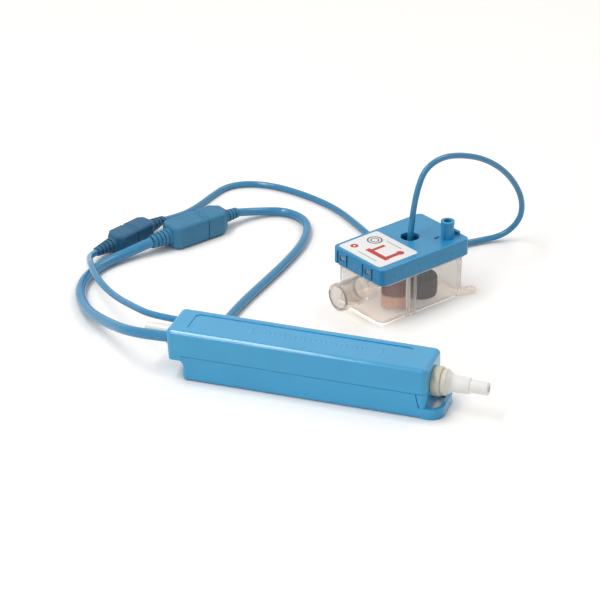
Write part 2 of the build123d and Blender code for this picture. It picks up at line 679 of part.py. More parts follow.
with BuildPart() as tank_box:
    with BuildSketch(TANK):
        with Locations((BOX_MID, 0)):
            RectangleRounded(BOX_L, BOX_W, BOX_CORNER_R)
    extrude(amount=BOX_RIM_Z)
    fillet(faces().sort_by(Axis.Z)[0].edges(), 1.4)
    # rim flange that carries the lid's skirt
    with BuildSketch(TANK.offset(LID_BASE_Z - 1.2)):
        with Locations((BOX_MID, 0)):
            RectangleRounded(BOX_L + 2.6, BOX_W + 2.6, BOX_CORNER_R + 1.2)
    extrude(amount=1.0)
    # outside ribs and mounting ears
    with BuildSketch(TANK):
        with Locations(*[(x, side * (BOX_W / 2 + 0.5)) for x in RIB_X for side in (-1, 1)]):
            Rectangle(1.5, 1.8)
    extrude(amount=LID_BASE_Z - 1.2)
    for side in (-1, 1):
        ear_end = (EAR_AT[0], side * EAR_AT[1])
        ear_root = (BOX_X1 - 4.0, side * (BOX_W / 2 - 3.0))
        with BuildSketch(TANK):
            with BuildLine():
                ear_line = Line(ear_root, ear_end)
            SlotArc(ear_line, 2 * EAR_R)
            with Locations(ear_end):
                Circle(EAR_HOLE_R, mode=Mode.SUBTRACT)
        extrude(amount=EAR_T)
    # inlet tube with a beaded mouth
    with BuildSketch(tank_side(BOX_X0 + 2, INLET_TUBE_Z)):
        Circle(INLET_TUBE_R)
    extrude(amount=-INLET_TUBE_REACH - 2)
    with BuildSketch(tank_side(BOX_X0 - INLET_TUBE_REACH, INLET_TUBE_Z)):
        Circle(INLET_TUBE_R + 0.35)
    extrude(amount=2.0)
    # hollow
    with BuildSketch(TANK.offset(BOX_WALL)):
        with Locations((BOX_MID, 0)):
            RectangleRounded(BOX_L - 2 * BOX_WALL, BOX_W - 2 * BOX_WALL, BOX_CORNER_R - 1.4)
    extrude(amount=BOX_RIM_Z, mode=Mode.SUBTRACT)
    with BuildSketch(tank_side(BOX_X0 + 6, INLET_TUBE_Z)):
        Circle(INLET_TUBE_BORE_R)
    extrude(amount=-INLET_TUBE_REACH - 8, mode=Mode.SUBTRACT)
    # slots for the filter's frame
    with BuildSketch(TANK.offset(BOX_WALL)):
        with Locations(*[(FILTER_AT[0] + dx, side * (BOX_W / 2 - BOX_WALL - 0.5))
                         for dx in (-1.5, 1.5) for side in (-1, 1)]):
            Rectangle(1.0, 1.4)
    extrude(amount=23.0 - BOX_WALL)
    # barbs under the lid's snap tongues
    with BuildSketch(tank_side(BOX_X0 + 0.4, 31.0)):
        with Locations(*[(y, 0) for y in SNAP_Y]):
            Rectangle(4.2, 2.4)
    extrude(amount=-BARB - 0.4)
tank_box.part.label = "tank_box"

with BuildPart() as tank_lid:
    with BuildSketch(TANK.offset(LID_BASE_Z)):
        with Locations((LID_MID, 0)):
            RectangleRounded(LID_LENGTH, LID_WIDTH, LID_CORNER_R)
    extrude(amount=LID_TOP_Z - LID_BASE_Z)
    fillet(faces().sort_by(Axis.Z)[-1].edges(), 0.8)
    with BuildSketch(TANK.offset(LID_BASE_Z)):
        with Locations((LID_MID, 0)):
            RectangleRounded(LID_LENGTH - 2 * LID_SKIRT, LID_WIDTH - 2 * LID_SKIRT, LID_CORNER_R - 1.2)
    extrude(amount=LID_TOP_Z - LID_BASE_Z - LID_TOP_T, mode=Mode.SUBTRACT)
    # spout with its rim, fin and web, and the nub that ends the web
    with BuildSketch(TANK.offset(LID_TOP_Z - 0.5)):
        with Locations(SPOUT_AT):
            Circle(SPOUT_R)
        with Locations((SPOUT_AT[0] - SPOUT_R, SPOUT_AT[1] - 1.0)):
            Rectangle(2.4, 1.6)
    extrude(amount=SPOUT_HEIGHT - 0.7)
    with BuildSketch(TANK.offset(LID_TOP_Z + SPOUT_HEIGHT - 1.8)):
        with Locations(SPOUT_AT):
            Circle(SPOUT_R + 0.3)
    extrude(amount=1.8)
    with BuildSketch(TANK.offset(LID_TOP_Z + SPOUT_HEIGHT)):
        with Locations(SPOUT_AT):
            Circle(SPOUT_BORE_R)
    extrude(amount=-SPOUT_HEIGHT - LID_TOP_T, mode=Mode.SUBTRACT)
    with BuildSketch(tank_front(SPOUT_AT[1] + 1.2)):
        with BuildLine():
            web_foot = (LID_LENGTH - 1.0, LID_TOP_Z + 1.6)
            web_top = (SPOUT_AT[0] + SPOUT_R - 0.8, LID_TOP_Z + WEB_RISE)
            Polyline(web_top, (web_top[0], LID_TOP_Z - 0.5), (LID_LENGTH - 1.0, LID_TOP_Z - 0.5), web_foot)
            Line(web_foot, (LID_LENGTH - 3.4, LID_TOP_Z + 1.6))
            ThreePointArc((LID_LENGTH - 3.4, LID_TOP_Z + 1.6), (LID_LENGTH - 4.4, LID_TOP_Z + 4.0), web_top)
        make_face()
    extrude(amount=1.1, both=True)
    with BuildSketch(TANK.offset(LID_TOP_Z - 0.5)):
        with Locations((LID_LENGTH - 1.9, SPOUT_AT[1] + 1.2)):
            Rectangle(1.8, 5.0)
    extrude(amount=2.2)
    # cable hole and the shallow slot beside the spout
    with BuildSketch(TANK.offset(LID_TOP_Z)):
        with Locations(CABLE_HOLE):
            Circle(CABLE_HOLE_R)
    extrude(amount=-LID_TOP_T - 1, mode=Mode.SUBTRACT)
    with BuildSketch(TANK.offset(LID_TOP_Z)):
        with Locations((SPOUT_AT[0] - 5.2, SPOUT_AT[1] + 3.4)):
            Rectangle(3.6, 1.6)
    extrude(amount=-1.2, mode=Mode.SUBTRACT)
    # snap tongues on the inlet end: two slots each, a window, and a relieved inner face
    snap_z = LID_BASE_Z + 4.2
    with BuildSketch(tank_side(LID_SKIRT + 0.5, snap_z)):
        with Locations(*[(y + side * (SNAP_W - SNAP_SLOT) / 2, 0) for y in SNAP_Y for side in (-1, 1)]):
            Rectangle(SNAP_SLOT, 8.6)
        with Locations(*[(y, 0.3) for y in SNAP_Y]):
            Rectangle(4.8, 3.2)
    extrude(amount=-LID_SKIRT - 1, mode=Mode.SUBTRACT)
    with BuildSketch(tank_side(LID_SKIRT + 0.5, LID_BASE_Z + 2.9)):
        with Locations(*[(y, 0) for y in SNAP_Y]):
            Rectangle(SNAP_W - 2 * SNAP_SLOT, 6.4)
    extrude(amount=-1.1, mode=Mode.SUBTRACT)
tank_lid.part.label = "tank_lid"

with BuildPart() as lid_label:
    with BuildSketch(TANK.offset(LID_TOP_Z)):
        with Locations((17.0, 0.9)):
            RectangleRounded(LABEL[0], LABEL[1], 2.0)
    extrude(amount=0.25)
lid_label.part.label = "lid_label"

HOUSING_TOP = LID_TOP_Z - LID_TOP_T
with BuildPart() as sensor_housing:
    # box under the lid that holds the switch board, with a well below the cable hole
    with BuildSketch(TANK.offset(27.5)):
        with Locations((FLOAT_AT[0], -3.0)):
            RectangleRounded(20.0, 23.0, 3.0)
    extrude(amount=HOUSING_TOP - 27.5)
    with BuildSketch(TANK.offset(HOUSING_TOP)):
        with Locations(CABLE_HOLE):
            Circle(CABLE_HOLE_R)
    extrude(amount=-5.2, mode=Mode.SUBTRACT)
    # hollow guide stem, closed at its foot
    with BuildSketch(TANK.offset(2.0)):
        with Locations(FLOAT_AT):
            Circle(STEM_R)
    extrude(amount=27.0)
    with BuildSketch(TANK.offset(3.2)):
        with Locations(FLOAT_AT):
            Circle(STEM_R - 1.0)
    extrude(amount=20.0, mode=Mode.SUBTRACT)
    with BuildSketch(TANK.offset(2.4)):
        with Locations(FLOAT_AT):
            Circle(STEM_R + 1)
            Circle(STEM_R - 0.5, mode=Mode.SUBTRACT)
    extrude(amount=0.7, mode=Mode.SUBTRACT)
sensor_housing.part.label = "sensor_housing"

with BuildPart() as switch_board:
    with BuildSketch(TANK.offset(4.0)):
        with Locations(FLOAT_AT):
            Rectangle(3.4, 1.2)
    extrude(amount=18.0)
switch_board.part.label = "switch_board"

with BuildPart() as stem_clip:
    with BuildSketch(TANK.offset(2.45)):
        with Locations(FLOAT_AT):
            Circle(STEM_R + 1.4)
            Circle(STEM_R - 0.45, mode=Mode.SUBTRACT)
        with Locations((FLOAT_AT[0] + STEM_R + 0.6, FLOAT_AT[1])):
            Rectangle(3.0, 2.4, mode=Mode.SUBTRACT)
    extrude(amount=0.6)
stem_clip.part.label = "stem_clip"

FLOAT_BORE_R = STEM_R + 0.35
with BuildPart() as float_body:
    with BuildSketch(TANK.offset(FLOAT_REST_Z)):
        with Locations(FLOAT_AT):
            Circle(FLOAT_R)
            Circle(FLOAT_BORE_R, mode=Mode.SUBTRACT)
    extrude(amount=FLOAT_H)
    fillet(edges().filter_by(GeomType.CIRCLE).filter_by(lambda e: e.radius > STEM_R + 2), 0.6)
    with BuildSketch(TANK.offset(FLOAT_REST_Z + FLOAT_H)):
        with Locations(FLOAT_AT):
            Circle(6.2)
            Circle(4.2, mode=Mode.SUBTRACT)
    extrude(amount=-3.0, mode=Mode.SUBTRACT)
    with BuildSketch(TANK.offset(FLOAT_REST_Z + FLOAT_H / 2)):
        with Locations(FLOAT_AT):
            Circle(FLOAT_R + 0.3)
            Circle(FLOAT_R - 0.3, mode=Mode.SUBTRACT)
    extrude(amount=0.6)
float_body.part.label = "float"

with BuildPart() as float_magnet:
    with BuildSketch(TANK.offset(FLOAT_REST_Z + FLOAT_H - 3.0)):
        with Locations(FLOAT_AT):
            Circle(6.1)
            Circle(4.3, mode=Mode.SUBTRACT)
    extrude(amount=2.8)
float_magnet.part.label = "float_magnet"

with BuildPart() as filter_frame:
    # stepped plate across the tank with a foot and top ring for the curved screen
    with BuildSketch(tank_side(FILTER_AT[0] - 0.6)):
        with BuildLine():
            half = BOX_W / 2 - BOX_WALL - AIR
            Polyline((-half, 1.9), (half, 1.9), (half, 18.0), (8.0, 24.0), (-half, 24.0), close=True)
        make_face()
        with Locations((FILTER_AT[1], 12.6)):
            Rectangle(2 * FILTER_R - 3.4, 17.6, mode=Mode.SUBTRACT)
    extrude(amount=1.2)
    for level in (1.9, 22.6):
        with BuildSketch(TANK.offset(level)):
            with Locations(FILTER_AT):
                Circle(FILTER_R + 0.5)
                Circle(FILTER_R - 1.6, mode=Mode.SUBTRACT)
            with Locations((FILTER_AT[0] + FILTER_R, FILTER_AT[1])):
                Rectangle(2 * FILTER_R, 3 * FILTER_R, mode=Mode.SUBTRACT)
        extrude(amount=1.4)
filter_frame.part.label = "filter_frame"

with BuildPart() as filter_screen:
    with BuildSketch(TANK.offset(3.35)):
        with Locations(FILTER_AT):
            Circle(FILTER_R)
            Circle(FILTER_R - 0.5, mode=Mode.SUBTRACT)
        with Locations((FILTER_AT[0] + FILTER_R - 0.65, FILTER_AT[1])):
            Rectangle(2 * FILTER_R, 3 * FILTER_R, mode=Mode.SUBTRACT)
    extrude(amount=22.55 - 3.35)
filter_screen.part.label = "filter_screen"

# ---------------------------------------------------------------- leads
HANK_CENTRE = (0.0, 32.7)
HANK_STRAIGHT = 100.0
HANK_R = 15.0
COIL_CENTRE = (11.0, 185.5)
COIL_RING_R = 18.0
GLAND_TOP_Z = 31.5


def on_ring(angle, z):
    """Point on the middle of the float cable's coil."""
    turn = radians(angle)
    return (COIL_CENTRE[0] + COIL_RING_R * cos(turn), COIL_CENTRE[1] + COIL_RING_R * sin(turn), z)


gland_top = tank_point(*CABLE_HOLE, GLAND_TOP_Z)
ARCH_END = (24.6, 128.7, 43.0)
MAINS_ROUTE = [
    MAINS_EXIT, (-97.0, -8.2, 21.2), (-121.0, 12.0, 13.0), (-146.0, 38.0, 4.6),
    (-161.5, 65.0, 3.4), (-161.0, 93.0, 3.4), (-151.0, 113.0, 4.2), point_on(*MAINS, 0),
]
SENSOR_ROUTE = [
    SENSOR_EXIT, (-93.0, 10.6, 23.6), (-110.0, 23.5, 20.0), (-130.0, 42.5, 14.6),
    (-146.5, 60.0, 13.6), (-157.0, 76.0, 13.2), (-163.5, 89.0, 10.0), (-166.9, 98.2, 7.6),
    point_on(*JOINT, 0),
]
SUPPLY_ROUTE = [
    point_on(*MAINS, S_END + BOOT_OUT), (-94.0, 196.0, 3.2), (-77.0, 203.0, 2.6), (-60.0, 193.0, 2.6),
    (-54.0, 168.0, 2.6), (-55.5, 138.0, 2.6), (-59.5, 108.0, 2.6), (-63.5, 79.0, 2.6),
    (-65.0, 54.0, 2.6), (-65.0, 32.7, 2.6),
]
TAIL_ROUTE = [
    (30.0, 47.7, 7.5), (16.0, 46.9, 7.0), (2.0, 42.0, 4.4), (-11.0, 36.0, 2.6), (-23.0, 32.7, 2.6),
    (-35.0, 32.7, 2.6),
]
FLOOR_ROUTE = [
    point_on(*JOINT, J_END + JOINT_NECK), (-138.2, 174.5, 3.0), (-133.0, 190.5, 2.0),
    (-129.8, 209.0, 1.9), (-125.5, 226.0, 1.9), (-113.0, 235.0, 1.9), (-95.0, 236.0, 1.9), (-72.0, 229.0, 1.9),
    (-50.0, 217.5, 1.9), (-32.0, 201.0, 1.9), (-16.5, 185.5, 1.9), on_ring(235, 1.9),
]
ARCH_ROUTE = [
    on_ring(-30, 1.9), (34.5, 190.0, 1.9), (46.0, 202.5, 1.9), (59.5, 211.5, 3.5), (68.5, 214.5, 14.0),
    (70.5, 211.0, 28.0), (67.8, 204.0, 42.5), (62.0, 193.5, 56.5), (54.0, 179.5, 68.5), (45.0, 164.0, 76.5),
    (36.5, 149.4, 80.5), (29.6, 137.4, 77.0), (26.6, 132.2, 65.0), (25.1, 129.6, 51.5), ARCH_END,
]

print("mains lead")
with BuildPart() as mains_lead:
    cord(MAINS_ROUTE, MAINS_D)
mains_lead.part.label = "mains_lead"

print("sensor lead")
with BuildPart() as sensor_lead:
    cord(SENSOR_ROUTE, SENSOR_D)
sensor_lead.part.label = "sensor_lead"

print("supply cable")
with BuildPart() as supply_cable:
    cord(SUPPLY_ROUTE, SUPPLY_D)
supply_cable.part.label = "supply_cable"

print("supply cable's tail")
with BuildPart() as supply_tail:
    cord(TAIL_ROUTE, SUPPLY_D)
supply_tail.part.label = "supply_tail"

print("float cable on the floor")
with BuildPart() as float_cable_floor:
    cord(FLOOR_ROUTE, FLOAT_CABLE_D)
float_cable_floor.part.label = "float_cable_floor"

print("float cable over the lid")
with BuildPart() as float_cable_arch:
    cord(ARCH_ROUTE, FLOAT_CABLE_D)
float_cable_arch.part.label = "float_cable_arch"

print("float cable into the gland")
with BuildPart() as float_cable_top:
    cord([ARCH_END, (24.3, 128.16, 37.9), gland_top], FLOAT_CABLE_D)
float_cable_top.part.label = "float_cable_top"

tubes = {
    "mains_lead": mains_lead, "sensor_lead": sensor_lead, "supply_cable": supply_cable,
    "supply_tail": supply_tail, "float_cable_floor": float_cable_floor,
    "float_cable_arch": float_cable_arch, "float_cable_top": float_cable_top,
}
for name, tube in tubes.items():
    print("   volume of", name, round(tube.part.volume))

with BuildPart() as cable_gland:
    with BuildSketch(TANK.offset(GLAND_TOP_Z - 2.0)):
        with Locations(CABLE_HOLE):
            Circle(CABLE_HOLE_R - 0.1)
    extrude(amount=2.0)
cable_gland.part.label = "cable_gland"

# hank of the supply cable: one cord wide and two high, with two bands round its near straight
TIE_W = 5.0
TIE_T = 0.5
with BuildPart() as supply_hank:
    with BuildSketch():
        with Locations(HANK_CENTRE):
            SlotCenterToCenter(HANK_STRAIGHT, 2 * HANK_R + SUPPLY_D)
            SlotCenterToCenter(HANK_STRAIGHT, 2 * HANK_R - SUPPLY_D, mode=Mode.SUBTRACT)
    extrude(amount=2 * SUPPLY_D)
    band_places = [(x, HANK_CENTRE[1] - HANK_R, SUPPLY_D) for x in (-30.0, 30.0)]
    with Locations(*band_places):
        Box(TIE_W, SUPPLY_D + 1, 2 * SUPPLY_D + 1, mode=Mode.SUBTRACT)
        Box(TIE_W, SUPPLY_D - 2 * TIE_T, 2 * (SUPPLY_D - TIE_T))
supply_hank.part.label = "supply_hank"

with BuildPart() as supply_hank_tie:
    with Locations(*band_places):
        Box(TIE_W, SUPPLY_D, 2 * SUPPLY_D)
        Box(TIE_W, SUPPLY_D - 2 * TIE_T, 2 * (SUPPLY_D - TIE_T), mode=Mode.SUBTRACT)
supply_hank_tie.part.label = "supply_hank_tie"

with BuildPart() as supply_cores:
    # three cores with their ferrules at the cable's bare end
    for begin, radius, reach in ((0.0, 0.95, 14.0), (14.0, 0.6, 6.0)):
        with BuildSketch(Plane.YZ.offset(TAIL_ROUTE[-1][0] - begin)):
            with Locations((HANK_CENTRE[1], TAIL_ROUTE[-1][2])):
                with PolarLocations(1.3, 3):
                    Circle(radius)
        extrude(amount=-reach)
supply_cores.part.label = "supply_cores"

with BuildPart() as float_cable_coil:
    coil_wide = 2 * FLOAT_CABLE_D
    with BuildSketch():
        with Locations(COIL_CENTRE):
            Circle(COIL_RING_R + coil_wide / 2)
            Circle(COIL_RING_R - coil_wide / 2, mode=Mode.SUBTRACT)
    extrude(amount=coil_wide)
    coil_band = (COIL_CENTRE[0], COIL_CENTRE[1] + COIL_RING_R, coil_wide / 2)
    with Locations(coil_band):
        Box(4.0, coil_wide + 1.5, coil_wide + 1, mode=Mode.SUBTRACT)
        Box(4.0, coil_wide - 1.4, coil_wide - 1.4)
float_cable_coil.part.label = "float_cable_coil"

with BuildPart() as float_coil_tie:
    with Locations(coil_band):
        Box(4.0, coil_wide, coil_wide)
        Box(4.0, coil_wide - 1.4, coil_wide - 1.4, mode=Mode.SUBTRACT)
float_coil_tie.part.label = "float_coil_tie"

# ---------------------------------------------------------------- files
everything = [
    upper_casing, lower_casing, outlet_spigot, inlet_spigot, mains_grommet, sensor_grommet,
    cylinder_tube, piston, front_spring, rear_spring, spring_seats, coil_bobbin, copper_coil, yoke,
    rubber_mounts, valve_seat, discharge_valve, valve_spring, inlet_socket, suction_hose,
    control_board, mains_socket, mains_socket_boot, mains_plug, mains_pins, mains_plug_boot,
    sensor_socket, sensor_socket_boot, sensor_plug, sensor_plug_boot, sensor_pins, tank_box,
    tank_lid, lid_label, sensor_housing, switch_board, stem_clip, float_body, float_magnet,
    filter_frame, filter_screen, mains_lead, sensor_lead, supply_cable, supply_tail,
    float_cable_floor, float_cable_arch, float_cable_top, cable_gland, supply_hank,
    supply_hank_tie, supply_cores, float_cable_coil, float_coil_tie,
]
for item in everything:
    export_step(item.part, "parts/" + item.part.label + ".step")
    box = item.part.bounding_box()
    print(item.part.label, len(item.part.solids()), "solids", round(item.part.volume), box.min, box.max)
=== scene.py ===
import bpy
import bmesh
import json
from math import cos, pi, radians, sin
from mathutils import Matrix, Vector


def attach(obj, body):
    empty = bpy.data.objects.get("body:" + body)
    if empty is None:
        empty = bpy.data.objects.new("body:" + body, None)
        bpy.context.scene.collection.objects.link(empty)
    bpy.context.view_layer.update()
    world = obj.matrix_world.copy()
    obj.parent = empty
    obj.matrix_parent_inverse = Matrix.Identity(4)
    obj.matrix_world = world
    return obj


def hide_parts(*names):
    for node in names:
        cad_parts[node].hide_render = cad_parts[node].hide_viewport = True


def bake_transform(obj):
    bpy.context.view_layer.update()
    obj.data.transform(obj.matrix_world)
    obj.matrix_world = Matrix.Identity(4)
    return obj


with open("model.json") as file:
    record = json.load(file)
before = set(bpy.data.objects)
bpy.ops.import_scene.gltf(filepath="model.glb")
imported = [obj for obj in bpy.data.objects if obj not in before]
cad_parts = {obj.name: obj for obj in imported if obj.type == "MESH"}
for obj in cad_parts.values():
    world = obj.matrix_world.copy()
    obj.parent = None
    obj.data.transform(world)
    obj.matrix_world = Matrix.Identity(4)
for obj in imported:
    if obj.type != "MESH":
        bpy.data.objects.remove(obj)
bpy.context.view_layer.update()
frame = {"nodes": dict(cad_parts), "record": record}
scene = bpy.context.scene
nodes = frame["nodes"]
MM = 0.001

# ---------------------------------------------------------------- sizes and places, in millimetres
MAINS_D = 6.2
SENSOR_D = 4.0
SUPPLY_D = 5.0
FLOAT_D = 3.6

# pump block: where each lead leaves it, the top panel's marks and where the outlet's painted light and
# shade runs
MAINS_EXIT = (-76.6, -8.6, 22.6)
SENSOR_EXIT = (-76.6, 8.2, 24.8)
PANEL_Z = 28.9
PANEL_MIDDLE = 8.0
DASH_STEP = 3.0
DASH_ROW = 30.0
END_MARK = 38.0
OUTLET_PAINTED_LIGHT_SPAN = (77.5, 91.0)

# connectors: start of the socket's boot, heading in degrees and height of the axis
MAINS = ((-138.6, 127.4), 57.0, 7.4)
JOINT = ((-166.0, 106.5), 67.0, 6.4)
MAINS_PLUG_END = 65.0
JOINT_PLUG_END = 58.0
JOINT_SIDE = -8.5

# tank: its own x runs from the inlet end along the box, y across it
TANK_ORIGIN = (3.2, 91.0)
TANK_ANGLE = 58.1
CABLE_HOLE = (42.2, 1.7)
CABLE_TOP = 31.5
BOX_RIM_Z = 25.2
BOX_FOOT_Z = (0.6, 2.6)
BOX_RIB_Y = 20.3
# where the far walls begin; their extra milk is painted light
BOX_FAR_X = 61.0
BOX_FAR_Y = 16.5
BOX_MIDDLE = (33.0, 0.0)
BOX_INNER_HALF = (31.6, 19.6)
SCREEN_DARK_HEIGHTS = (10.6, 12.2)

# label motifs in the tank's own x and y: bars and lines as centre and half size, the rest as centre
RED_BARS = (((12.0, -4.0), (1.7, 9.0)), ((17.0, -11.0), (5.2, 1.5)), ((18.0, 2.0), (4.8, 1.2)))
RED_DOT = (23.5, -11.0)
RED_RING = (9.0, 13.0)
DARK_RINGS = (23.0, 11.0)
GREY_LINES = (((27.5, -1.0), (0.3, 6.5)), ((6.0, -2.0), (0.3, 8.0)))

# the supply cable's hank and the float cable's coil
HANK_CENTRE = (0.0, 32.7)
HANK_HALF = 50.0
HANK_R = 15.0
HANK_LOW = 2.5
HANK_HIGH = 7.5
HANK_CLIMB = ((50.0, 2.5), (30.0, 2.5), (10.0, 2.5), (-10.0, 2.8), (-30.0, 5.4), (-50.0, 7.5))
COIL_CENTRE = (11.0, 185.5)
COIL_R = 19.8
COIL_INSET = 3.6
COIL_LOW = 1.9
COIL_LIFT = 3.5
COIL_START = 235.0
COIL_END = 330.0 + 4 * 360.0
COIL_STEPS = 14


def mm(*values):
    return tuple(value * MM for value in values)


def connector_point(start, angle, height, along):
    return (start[0] + along * cos(radians(angle)), start[1] + along * sin(radians(angle)), height)


def tank_point(x, y, z):
    c, s = cos(radians(TANK_ANGLE)), sin(radians(TANK_ANGLE))
    return (TANK_ORIGIN[0] + x * c - y * s, TANK_ORIGIN[1] + x * s + y * c, z)


# ---------------------------------------------------------------- colours
def linear(red, green, blue):
    """Linear colour from 8-bit sRGB values."""
    out = []
    for value in (red, green, blue):
        c = value / 255
        out.append(c / 12.92 if c <= 0.04045 else ((c + 0.055) / 1.055) ** 2.4)
    return (*out, 1.0)


def shade(colour, amount):
    return (*[max(0.0, c * amount) for c in colour[:3]], 1.0)


BLUE = linear(46, 167, 220)
CABLE = linear(42, 138, 186)
LIGHT_COLOUR = (1.0, 0.995, 0.985, 1.0)

# ---------------------------------------------------------------- camera
CAMERA_PLACE = (0.4970, -1.4955, 0.8820)
CAMERA_AIM = (-0.27989, 0.83991, -0.46500)
CAMERA_LENS = 193.14

camera = bpy.data.objects.new("camera", bpy.data.cameras.new("camera"))
scene.collection.objects.link(camera)
camera.data.sensor_width = 36.0
camera.data.lens = CAMERA_LENS
camera.data.clip_start = 0.1
camera.data.clip_end = 20.0
camera.location = CAMERA_PLACE
camera.rotation_mode = "QUATERNION"
camera.rotation_quaternion = Vector(CAMERA_AIM).to_track_quat("-Z", "Y")
scene.camera = camera


# ---------------------------------------------------------------- node helpers
class Nodes:
    """Node tree of a new material or world, with short names for what is used below."""

    def __init__(self, owner, output="ShaderNodeOutputMaterial"):
        owner.use_nodes = True
        self.owner = owner
        self.tree = owner.node_tree
        self.tree.nodes.clear()
        self.out = self.add(output)
        self.place = self.add("ShaderNodeTexCoord").outputs["Object"]

    def add(self, kind, **settings):
        node = self.tree.nodes.new(kind)
        for key, value in settings.items():
            setattr(node, key, value)
        return node

    def link(self, a, b):
        self.tree.links.new(a, b)

    def noise(self, scale, detail=3.0, rough=0.5, stretch=None):
        node = self.add("ShaderNodeTexNoise")
        node.inputs["Scale"].default_value = scale
        node.inputs["Detail"].default_value = detail
        node.inputs["Roughness"].default_value = rough
        source = self.place
        if stretch:
            mapping = self.add("ShaderNodeMapping")
            mapping.inputs["Scale"].default_value = stretch
            self.link(source, mapping.inputs["Vector"])
            source = mapping.outputs["Vector"]
        self.link(source, node.inputs["Vector"])
        return node.outputs["Fac"]

    def two_tone(self, value, low, high):
        """Colour running from low to high as a noise value runs over its middle part."""
        node = self.add("ShaderNodeValToRGB")
        for element, place, colour in zip(node.color_ramp.elements, (0.3, 0.7), (low, high)):
            element.position = place
            element.color = colour
        self.link(value, node.inputs["Fac"])
        return node.outputs["Color"]

    def spread(self, value, low, high, start=0.0, stop=1.0):
        """Low to high as a value runs from start to stop, held level beyond them."""
        node = self.add("ShaderNodeMapRange")
        node.inputs["From Min"].default_value = start
        node.inputs["From Max"].default_value = stop
        node.inputs["To Min"].default_value = low
        node.inputs["To Max"].default_value = high
        self.link(value, node.inputs["Value"])
        return node.outputs["Result"]

    def bump(self, height, strength, distance, before=None):
        node = self.add("ShaderNodeBump")
        node.inputs["Strength"].default_value = strength
        node.inputs["Distance"].default_value = distance
        self.link(height, node.inputs["Height"])
        if before:
            self.link(before, node.inputs["Normal"])
        return node.outputs["Normal"]

    def maths(self, operation, *values):
        node = self.add("ShaderNodeMath", operation=operation)
        for socket, value in zip(node.inputs, values):
            if isinstance(value, (int, float)):
                socket.default_value = value
            else:
                self.link(value, socket)
        return node.outputs["Value"]

    def most(self, first, *others):
        """The greatest of several values."""
        for value in others:
            first = self.maths("MAXIMUM", first, value)
        return first

    def off(self, value, middle):
        """How far a value is from a middle."""
        return self.maths("ABSOLUTE", self.maths("SUBTRACT", value, middle))

    def mixed(self, factor, first, second):
        """Two colours mixed; each is a constant or an output."""
        node = self.add("ShaderNodeMix", data_type="RGBA")
        colours = [socket for socket in node.inputs if socket.type == "RGBA"]
        for socket, value in zip(colours, (first, second)):
            if isinstance(value, tuple):
                socket.default_value = value
            else:
                self.link(value, socket)
        self.link(factor, node.inputs["Factor"])
        return next(socket for socket in node.outputs if socket.type == "RGBA")

    def mix_shaders(self, factor, first, second):
        """Two shaders mixed; the factor is a constant or an output."""
        node = self.add("ShaderNodeMixShader")
        if isinstance(factor, float):
            node.inputs["Fac"].default_value = factor
        else:
            self.link(factor, node.inputs["Fac"])
        self.link(first, node.inputs[1])
        self.link(second, node.inputs[2])
        return node.outputs["Shader"]

    def seen_directly(self):
        """One for camera, mirror and see-through rays, and nothing for the rays that light the object."""
        path = self.add("ShaderNodeLightPath")
        names = ("Is Camera Ray", "Is Glossy Ray", "Is Transmission Ray")
        return self.most(*[path.outputs[name] for name in names])

    def millimetres(self, origin=(0.0, 0.0), turn=0.0):
        """X, Y and Z in millimetres from an origin on the floor, along axes turned about Z."""
        mapping = self.add("ShaderNodeMapping", vector_type="TEXTURE")
        mapping.inputs["Location"].default_value = (origin[0] * MM, origin[1] * MM, 0.0)
        mapping.inputs["Rotation"].default_value = (0.0, 0.0, radians(turn))
        mapping.inputs["Scale"].default_value = (MM, MM, MM)
        self.link(self.place, mapping.inputs["Vector"])
        split = self.add("ShaderNodeSeparateXYZ")
        self.link(mapping.outputs["Vector"], split.inputs["Vector"])
        return [split.outputs[axis] for axis in "XYZ"]

    def bar(self, x, y, centre, half):
        """One inside an upright rectangle."""
        inside_x = self.maths("LESS_THAN", self.off(x, centre[0]), half[0])
        inside_y = self.maths("LESS_THAN", self.off(y, centre[1]), half[1])
        return self.maths("MULTIPLY", inside_x, inside_y)

    def ring(self, x, y, centre, radius, half):
        """One inside a ring, or inside a dot where its radius is nothing."""
        dx = self.maths("SUBTRACT", x, centre[0])
        dy = self.maths("SUBTRACT", y, centre[1])
        squares = self.maths("ADD", self.maths("MULTIPLY", dx, dx), self.maths("MULTIPLY", dy, dy))
        return self.maths("LESS_THAN", self.off(self.maths("SQRT", squares), radius), half)

    def shader(self, **values):
        node = self.add("ShaderNodeBsdfPrincipled")
        for key, value in values.items():
            node.inputs[key.replace("_", " ")].default_value = value
        self.link(node.outputs["BSDF"], self.out.inputs["Surface"])
        return node


def material_nodes(name):
    return Nodes(bpy.data.materials.new(name))


# ---------------------------------------------------------------- marks and paint within a material
def outlet_painted_light_and_shade(n, tint):
    """Ivory painted lighter towards the thin end of the outlet: painted light standing in for light through
    the thin plastic, and painted shade on the collar.
    """
    x, y, z = n.millimetres()
    return n.mixed(n.spread(x, 0.0, 1.0, *OUTLET_PAINTED_LIGHT_SPAN), tint, linear(255, 254, 250))


def panel_marks(n):
    """Row of plain raised dashes in the sunk panel, with a longer one at each end."""
    x, y, z = n.millimetres()
    beside = n.maths("ABSOLUTE", y)
    step = n.off(n.maths("PINGPONG", x, DASH_STEP), DASH_STEP / 2)
    dashes = n.maths("MULTIPLY", n.spread(step, 1.0, 0.0, 0.5, 1.1), n.spread(beside, 1.0, 0.0, 1.2, 1.9))
    dashes = n.maths("MULTIPLY", dashes, n.bar(x, y, (PANEL_MIDDLE, 0.0), (DASH_ROW, 4.0)))
    from_end = n.off(n.off(x, PANEL_MIDDLE), END_MARK)
    ends = n.maths("MULTIPLY", n.spread(from_end, 1.0, 0.0, 0.5, 1.1), n.spread(beside, 1.0, 0.0, 3.0, 3.6))
    return n.maths("MULTIPLY", n.most(dashes, ends), n.maths("GREATER_THAN", z, PANEL_Z))


